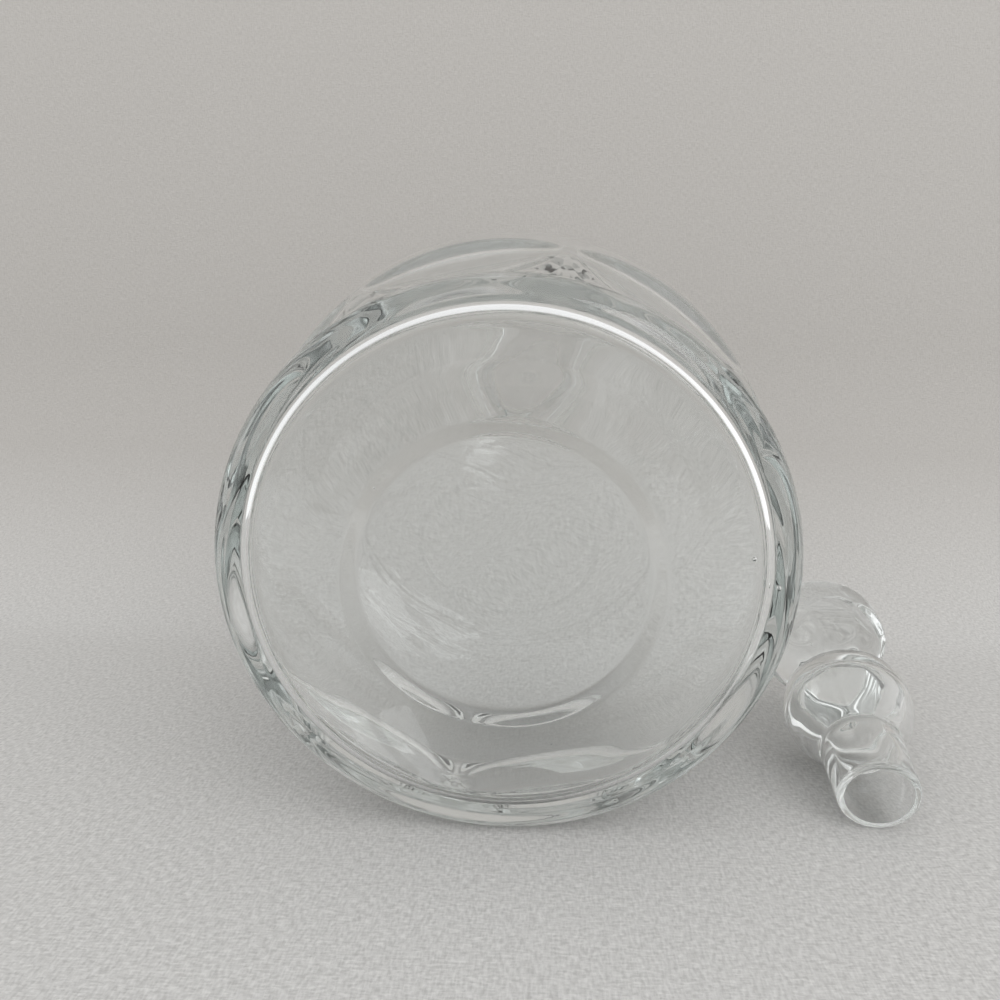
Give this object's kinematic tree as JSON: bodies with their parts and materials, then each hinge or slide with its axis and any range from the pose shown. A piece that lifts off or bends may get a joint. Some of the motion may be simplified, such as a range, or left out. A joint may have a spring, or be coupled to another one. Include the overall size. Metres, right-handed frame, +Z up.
{
  "type": "decanter",
  "caption": "Broad clear-glass decanter with a beaded foot, arched flat panels round a flaring body and a short fluted neck, lying on its side with its hollow glass stopper out beside it.",
  "frame": {"origin": "centre of the decanter's foot, in the plane of the flat ring that it stands on", "axes": "+Z up from the level surface that both pieces lie on, +Y level and towards the mouth (the decanter's axis rises 7.45 degrees from it), +X towards the stopper"},
  "size_m": [0.2033, 0.1907, 0.1583],
  "materials": {
    "vessel_glass": "clear polished pressed glass with a faint grey-green cast",
    "stopper_glass": "clear polished pressed glass with a faint grey-green cast"
  },
  "bodies": {
    "decanter": {"decanter": "vessel_glass"},
    "stopper": {"stopper": "stopper_glass"}
  },
  "joints": [
    {"name": "stopper_lift", "type": "slide", "parent": "decanter", "child": "stopper", "axis": [0, 0, 1], "range_m": [0, 0.16]}
  ]
}
